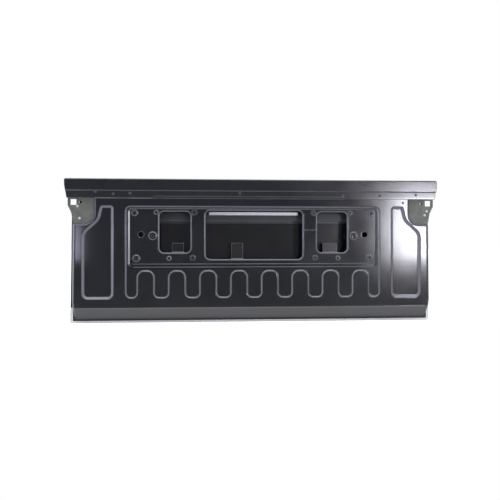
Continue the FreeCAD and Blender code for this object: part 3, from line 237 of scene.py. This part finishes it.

# Cross stiffener and support brackets
# Roll-formed hat section and folded brackets of mild steel, spot welded before the bath. Inside the
# shell the coat is more matt, and dust gathers on it; the bends are painted paler as a painted highlight.

# Bends of the brackets, hinge plates and rail ends get a pale painted highlight.
inner_coat = electrocoat("matt_electrocoat_painted_bend_highlight", "#0a0b0d", "#121316", 0.24, 0.08, 2.5, "#76777b")
# The stiffener's pale base is painted light that its face catches inside the shell; its specks are dust.
dust_and_painted_light_coat = electrocoat("dusty_matt_electrocoat_painted_light", "#1c1d20", "#2b2c30", 0.36, 0.2, 3.0, "#3c3d40")
for place_word in ("left", "centre", "right"):
    coat(f"support_bracket_{place_word}", inner_coat)
    soft_bends(f"support_bracket_{place_word}")
coat("cross_stiffener", dust_and_painted_light_coat)
soft_bends("cross_stiffener")

# Handle reinforcement
# A strip of galvanised steel folded along its top and spot welded behind the upper rim of the centre
# opening. Its pale colour is a painted highlight, which makes it show brighter than what lies round it.

STRIP_GAUGE = 1 * MM
STRIP_HEIGHT = 12 * MM


def finished(name, shape, material):
    """Turns a new shape into a piece of the gate with its finish."""
    mesh = bpy.data.meshes.new(name)
    shape.to_mesh(mesh)
    shape.free()
    piece = bpy.data.objects.new(name, mesh)
    bpy.context.scene.collection.objects.link(piece)
    piece.data.materials.append(material)
    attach(piece, "root")
    return piece


def folded_strip(name, section, start, end, material):
    """Strip along the gate whose section is given as depths and levels, all in metres."""
    shape = bmesh.new()
    end_face = shape.faces.new([shape.verts.new((start, depth, level)) for depth, level in section])
    drawn = bmesh.ops.extrude_face_region(shape, geom=[end_face], use_keep_orig=True)["geom"]
    moved = [item for item in drawn if isinstance(item, bmesh.types.BMVert)]
    bmesh.ops.translate(shape, verts=moved, vec=(end - start, 0.0, 0.0))
    bmesh.ops.recalc_face_normals(shape, faces=shape.faces)
    return finished(name, shape, material)


# Galvanised steel: hot-dipped zinc froze on it in small crystals, so it looks mottled and half dull. Its
# pale grey is a painted highlight, bright where the shade under the rim would keep it dark.
galvanised_painted_highlight, place = new_material("galvanised_steel_painted_highlight")
spangle = add(galvanised_painted_highlight, "TexVoronoi", {"Scale": every(6.25)}, {"Vector": place})
crystal = add(galvanised_painted_highlight, "ValToRGB", links={"Fac": spangle.outputs["Distance"]})
crystal.color_ramp.elements[0].color = colour("#a4a7ab")
crystal.color_ramp.elements[1].color = colour("#c2c4c7")
frost = add(galvanised_painted_highlight, "MapRange", {"To Min": 0.34, "To Max": 0.5}, {"Value": spangle.outputs["Distance"]})
painted_highlight_zinc = add(galvanised_painted_highlight, "BsdfPrincipled", {"Metallic": 0.35},
           {"Base Color": crystal.outputs["Color"], "Roughness": frost.outputs[0]})
add(galvanised_painted_highlight, "OutputMaterial", links={"Surface": painted_highlight_zinc.outputs["BSDF"]})

strip_low, strip_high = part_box("handle_reinforcement")
strip_top = strip_low.z + STRIP_HEIGHT
strip_section = [
    (strip_low.y, strip_low.z), (strip_low.y + STRIP_GAUGE, strip_low.z),
    (strip_low.y + STRIP_GAUGE, strip_top - STRIP_GAUGE), (strip_high.y, strip_top - STRIP_GAUGE),
    (strip_high.y, strip_top), (strip_low.y, strip_top)]
strip = folded_strip("handle_strip", strip_section, strip_low.x, strip_high.x, galvanised_painted_highlight)
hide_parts("handle_reinforcement")

# Hinge plates
# Steel plates 3 mm thick behind the hinge seats in the lower side walls. They are welded in before the
# bath and coated with the shell, and they take the two bolts of each hinge.

for side in ("left", "right"):
    coat(f"hinge_plate_{side}", inner_coat)
    soft_bends(f"hinge_plate_{side}")

# Inner panel
# One deep pressing with the wavy recess, three access openings and two side recesses. Its face is the
# glossiest of the shell, because the bath lay still on it, and it shows the slight waves of thin sheet.

# Its bends are painted paler with a painted highlight, which fades at the foot of the panel.
panel_coat = electrocoat("glossy_black_electrocoat", "#0c0d10", "#14151a", 0.13, 0.07, 4.5, "#54555a")
coat("inner_panel", panel_coat)
soft_bends("inner_panel", 1.7 * MM)

# Hem sealer
# Pale one-part sealer, brushed along the folded edge and up the lower corners and cured in the oven. The
# brush leaves it a little uneven, with streaks along the edge, and the heat leaves it chalky.

sealer, place = new_material("cured_seam_sealer")
streaks = add(sealer, "Mapping", {"Scale": (1.0, 6.0, 6.0)}, {"Vector": place})
brush = add(sealer, "TexNoise", {"Scale": every(11.1), "Detail": 5.0, "Roughness": 0.65},
            {"Vector": streaks.outputs[0]})
chalk = add(sealer, "ValToRGB", links={"Fac": brush.outputs["Fac"]})
chalk.color_ramp.elements[0].position = 0.32
chalk.color_ramp.elements[0].color = colour("#aeaeac")
chalk.color_ramp.elements[1].position = 0.66
chalk.color_ramp.elements[1].color = colour("#d8d8d6")
ridges = add(sealer, "Bump", {"Strength": 0.5, "Distance": 0.4 * MM}, {"Height": brush.outputs["Fac"]})
paste = add(sealer, "BsdfPrincipled", {"IOR": 1.45, "Roughness": 0.62},
            {"Base Color": chalk.outputs["Color"], "Normal": ridges.outputs["Normal"]})
add(sealer, "OutputMaterial", links={"Surface": paste.outputs["BSDF"]})
coat("hem_sealer", sealer)

# Weld nuts and square inserts
# Steel nuts with M8 threads are welded behind the six raised rings with round holes. Four inserts of
# moulded nylon are pushed through square holes in the other rings and take self-tapping screws.

# Zinc plate under a dark passivation, so the nuts look nearly black and only their edges shine dully.
zinc, place = new_material("zinc_plated_steel")
bloom = add(zinc, "TexNoise", {"Scale": every(3.85), "Detail": 4.0}, {"Vector": place})
plated = add(zinc, "ValToRGB", links={"Fac": bloom.outputs["Fac"]})
plated.color_ramp.elements[0].color = colour("#0c0d0e")
plated.color_ramp.elements[1].color = colour("#18191a")
rough = add(zinc, "MapRange", {"To Min": 0.35, "To Max": 0.55}, {"Value": bloom.outputs["Fac"]})
steel = add(zinc, "BsdfPrincipled", {"Metallic": 0.9},
            {"Base Color": plated.outputs["Color"], "Roughness": rough.outputs[0]})
add(zinc, "OutputMaterial", links={"Surface": steel.outputs["BSDF"]})

# Black nylon takes the spark-eroded grain of its mould, which gives it an even, soft sheen.
nylon, place = new_material("moulded_black_nylon")
grain = add(nylon, "TexNoise", {"Scale": every(1.11), "Detail": 2.0}, {"Vector": place})
shade = add(nylon, "ValToRGB", links={"Fac": grain.outputs["Fac"]})
shade.color_ramp.elements[0].color = colour("#08090a")
shade.color_ramp.elements[1].color = colour("#101113")
tooth = add(nylon, "Bump", {"Strength": 0.25, "Distance": 0.08 * MM}, {"Height": grain.outputs["Fac"]})
moulded = add(nylon, "BsdfPrincipled", {"IOR": 1.53, "Roughness": 0.48},
              {"Base Color": shade.outputs["Color"], "Normal": tooth.outputs["Normal"]})
add(nylon, "OutputMaterial", links={"Surface": moulded.outputs["BSDF"]})

for side in ("left", "right"):
    for row in ("upper", "middle", "lower"):
        coat(f"weld_nut_{row}_{side}", zinc)
    for row in ("upper", "lower"):
        coat(f"square_insert_{row}_{side}", nylon)

# Latch plates
# Plates of 2 mm steel in the upper corners, which carry the latches. They are primed before they are
# riveted in, so they stay dull beside the glossy panel.

# Sprayed primer: a flat grey-green with a fine powdery nap and faint clouds where the spray overlapped.
primer, place = new_material("grey_green_primer")
mottle = add(primer, "TexNoise", {"Scale": every(29.4), "Detail": 6.0, "Roughness": 0.6}, {"Vector": place})
grey = add(primer, "ValToRGB", links={"Fac": mottle.outputs["Fac"]})
grey.color_ramp.elements[0].position = 0.3
grey.color_ramp.elements[0].color = colour("#43443f")
grey.color_ramp.elements[1].position = 0.7
grey.color_ramp.elements[1].color = colour("#53554e")
powder = add(primer, "TexNoise", {"Scale": every(1.43), "Detail": 2.0}, {"Vector": place})
nap = add(primer, "Bump", {"Strength": 0.3, "Distance": 0.1 * MM}, {"Height": powder.outputs["Fac"]})
primed = add(primer, "BsdfPrincipled", {"IOR": 1.45, "Roughness": 0.58},
             {"Base Color": grey.outputs["Color"], "Normal": nap.outputs["Normal"]})
add(primer, "OutputMaterial", links={"Surface": primed.outputs["BSDF"]})
for side in ("left", "right"):
    coat(f"latch_plate_{side}", primer)
    soft_bends(f"latch_plate_{side}")

# Top rail and its closing plates
# A long section folded from steel sheet, welded on last along the top. Small bent plates close its ends.
# It hung at the top of the shell in the bath, so its coat is a little duller than the panel's. Its bends
# are painted paler, as a painted highlight.

rail_coat = electrocoat("rail_electrocoat", "#0f1013", "#18191c", 0.17, 0.08, 3.0, "#46474a")
coat("top_rail", rail_coat)
soft_bends("top_rail", 1.2 * MM)
for side in ("left", "right"):
    coat(f"rail_end_{side}", inner_coat)

# Seam and spot welds
# The rail's flange is sealed to the panel with two thin beads, and spot welds hold it. They went through
# the bath with the shell, so they stand out only by the light on them.

# Height of a weld mark or a rivet head as a share of its radius
LOW_HEAD = 0.3
MARK_RADIUS = 5.0
SIGHT_START = -1.0


def depth_at(across, level):
    """Depth of the first surface seen from the bed side, in metres, at a place given in millimetres."""
    looking = bpy.context.view_layer.depsgraph
    eye = (across * MM, SIGHT_START, level * MM)
    return bpy.context.scene.ray_cast(looking, eye, (0, 1, 0))[1].y


def bead(name, start, end, level, radius, material):
    """Thin bead of sealer along the gate, half sunk in its seam, in millimetres."""
    shape = bmesh.new()
    bmesh.ops.create_cone(shape, cap_ends=True, segments=16, radius1=radius * MM, radius2=radius * MM,
                          depth=(end - start) * MM)
    bmesh.ops.rotate(shape, verts=shape.verts, matrix=Matrix.Rotation(math.radians(90), 3, "Y"))
    middle = (start + end) / 2
    bmesh.ops.translate(shape, verts=shape.verts, vec=(middle * MM, depth_at(middle, level), level * MM))
    for face in shape.faces:
        face.smooth = len(face.verts) == 4
    return finished(name, shape, material)


def dome(name, across, level, radius, material):
    """Low round head or weld mark that lies on the sheet, in millimetres."""
    shape = bmesh.new()
    bmesh.ops.create_uvsphere(shape, u_segments=20, v_segments=12, radius=radius * MM)
    bmesh.ops.scale(shape, verts=shape.verts, vec=(1.0, LOW_HEAD, 1.0))
    bmesh.ops.translate(shape, verts=shape.verts, vec=(across * MM, depth_at(across, level), level * MM))
    for face in shape.faces:
        face.smooth = True
    return finished(name, shape, material)


bead("seam_bead_upper_left", 66, 300, 401, 1.7, panel_coat)
bead("seam_bead_lower_left", 74, 300, 393, 1.9, panel_coat)
bead("seam_bead_upper", 300, 1060, 401, 1.1, rail_coat)
bead("seam_bead_lower", 300, 1060, 393, 1.3, rail_coat)
bead("web_bead", 897, 952, 269, 1.3, panel_coat)
bead("ledge_bead_upper", 218, 1178, 135, 1.5, panel_coat)
bead("ledge_bead_lower", 222, 1174, 123, 1.5, panel_coat)

# Places of the spot welds along the gate and above the hinges: eight on the rail and two on the panel
spot_welds = (
    (78, 417), (146, 409), (211, 412), (640, 415), (1052, 407), (1125, 407), (1202, 407), (1350, 411),
    (1167, 376), (1298, 379))
for number, (across, level) in enumerate(spot_welds, start=1):
    dome(f"spot_weld_{number}", across, level, MARK_RADIUS, panel_coat)

# Rivets
# Steel rivets with low round heads hold the latch plates to the panel. They are zinc plated and set
# after the coating, so they stand out pale against the primer.

# Bright zinc plate, handled and scuffed, which looks pale grey and half dull.
rivet_zinc, place = new_material("dulled_zinc_rivet")
scuff = add(rivet_zinc, "TexNoise", {"Scale": every(2), "Detail": 3.0}, {"Vector": place})
head = add(rivet_zinc, "ValToRGB", links={"Fac": scuff.outputs["Fac"]})
head.color_ramp.elements[0].color = colour("#8b8d8f")
head.color_ramp.elements[1].color = colour("#b4b6b8")
dull = add(rivet_zinc, "BsdfPrincipled", {"Metallic": 0.3, "Roughness": 0.4},
           {"Base Color": head.outputs["Color"]})
add(rivet_zinc, "OutputMaterial", links={"Surface": dull.outputs["BSDF"]})
latch_rivets = ((8, 361), (16, 314), (1400, 346), (1391, 330))
for number, (across, level) in enumerate(latch_rivets, start=1):
    dome(f"latch_rivet_{number}", across, level, MARK_RADIUS, rivet_zinc)

# Studio
# A pale floor and an even white surround, a large softbox overhead, one at the right of the camera
# whose glare lies on the right end of the gate, a cool one at the far left and a tiny one by the left edge.

# Level of what stands for the surround in reflections: near the camera, and behind the gate
FLOOR_NEAR, FLOOR_FAR = 0.36, 1.35
# The floor lies this far below the gate, in metres
FLOOR_GAP = 0.0005


def stage_material(name, code):
    """White for the camera; for reflections white below the gate and greyer towards the camera."""
    material, place = new_material(name)
    path = add(material, "LightPath")
    axes = add(material, "SeparateXYZ", links={"Vector": place})
    near = add(material, "MapRange",
               {"From Min": -0.6, "From Max": -0.05, "To Min": FLOOR_NEAR, "To Max": FLOOR_FAR},
               {"Value": axes.outputs["Y"]})
    level = add(material, "Math", {"operation": "MAXIMUM"},
                {0: path.outputs["Is Camera Ray"], 1: near.outputs[0]})
    seen = add(material, "Math", {"operation": "MAXIMUM"},
               {0: path.outputs["Is Camera Ray"], 1: path.outputs["Is Glossy Ray"]})
    board = add(material, "BsdfDiffuse", {"Color": colour(code)})
    glow = add(material, "Emission", {"Color": (1, 1, 1, 1)}, {"Strength": level.outputs[0]})
    mixed = add(material, "MixShader",
                links={0: seen.outputs[0], 1: board.outputs[0], 2: glow.outputs[0]})
    add(material, "OutputMaterial", links={"Surface": mixed.outputs[0]})
    return material


floor_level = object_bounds()[0].z - FLOOR_GAP
floor_mesh = bpy.data.meshes.new("studio_floor")
board = bmesh.new()
bmesh.ops.create_grid(board, x_segments=1, y_segments=1, size=30.0)
bmesh.ops.translate(board, verts=board.verts, vec=(0.7, 0.0, floor_level))
board.to_mesh(floor_mesh)
board.free()
floor = bpy.data.objects.new("studio_floor", floor_mesh)
bpy.context.scene.collection.objects.link(floor)
floor.data.materials.append(stage_material("pale_floor", "#e8e8e8"))

# The surround in reflections: greyer behind the camera, paler overhead and brightest at both sides
world = bpy.data.worlds.new("studio")
bpy.context.scene.world = world
world.use_nodes = True
world.node_tree.nodes.clear()
path = add(world, "LightPath")
heading = add(world, "TexCoord").outputs["Generated"]
axes = add(world, "SeparateXYZ", links={"Vector": heading})
depth = add(world, "MapRange", {"From Min": -1.0, "From Max": 0.4, "To Min": 0.27, "To Max": 1.0},
            {"Value": axes.outputs["Y"]})
height = add(world, "MapRange", {"From Min": 0.12, "From Max": 0.55, "To Min": 0.0, "To Max": 1.2},
             {"Value": axes.outputs["Z"]})
across = add(world, "Math", {"operation": "ABSOLUTE"}, {0: axes.outputs["X"]})
sides = add(world, "MapRange", {"From Min": 0.8, "From Max": 0.98, "To Min": 0.0, "To Max": 1.5},
            {"Value": across.outputs[0]})
higher = add(world, "Math", {"operation": "MAXIMUM"}, {0: height.outputs[0], 1: sides.outputs[0]})
level = add(world, "Math", {"operation": "MAXIMUM"}, {0: depth.outputs[0], 1: higher.outputs[0]})
room = add(world, "Background", {"Color": colour("#f1f3ff")}, {"Strength": level.outputs[0]})
white = add(world, "Background", {"Color": (1, 1, 1, 1), "Strength": 1.0})
surround = add(world, "MixShader",
               links={0: path.outputs["Is Camera Ray"], 1: room.outputs[0], 2: white.outputs[0]})
add(world, "OutputWorld", links={"Surface": surround.outputs[0]})


def softbox(name, spot, aim, width, height, power, code):
    """Rectangular soft lamp that faces a point of the gate, in metres and watts."""
    lamp = bpy.data.lights.new(name, "AREA")
    lamp.shape = "RECTANGLE"
    lamp.size = width
    lamp.size_y = height
    lamp.energy = power
    lamp.color = colour(code)[:3]
    holder = bpy.data.objects.new(name, lamp)
    holder.location = spot
    holder.rotation_euler = (Vector(aim) - Vector(spot)).to_track_quat("-Z", "Y").to_euler()
    bpy.context.scene.collection.objects.link(holder)
    return holder


softbox("overhead_softbox", (0.7, -0.5, 2.4), (0.7, -0.2, 0.2), 3.0, 1.6, 80.0, "#ffffff")
softbox("right_softbox", (2.17, -2.43, 0.36), (1.3, 0.0, 0.3), 0.36, 0.5, 34.0, "#f6f5ff")
softbox("left_softbox", (-1.75, -0.7, 0.28), (0.0, 0.0, 0.28), 1.2, 0.32, 16.0, "#e3e8ff")
edge_light = softbox("edge_softbox", (-0.07, -0.43, 0.22), (0.01, -0.03, 0.22), 0.05, 0.16, 0.2,
                     "#dfe6ff")
edge_light.visible_camera = False

# The camera stands 2.7 m in front of the gate, left of its middle and level with it, and looks a little
# to the right. The lens and the small shift give the gate its size and place in the photograph.
camera = bpy.data.cameras.new("photograph_view")
camera.sensor_width = 36.0
camera.lens = 49.13
camera.shift_x = -0.0104
camera.shift_y = -0.0152
viewer = bpy.data.objects.new("photograph_view", camera)
viewer.location = (0.470, -2.724, 0.220)
viewer.rotation_euler = (math.radians(90.0), 0.0, math.radians(-4.894))
bpy.context.scene.collection.objects.link(viewer)
bpy.context.scene.camera = viewer
bpy.context.scene.view_settings.view_transform = "Standard"
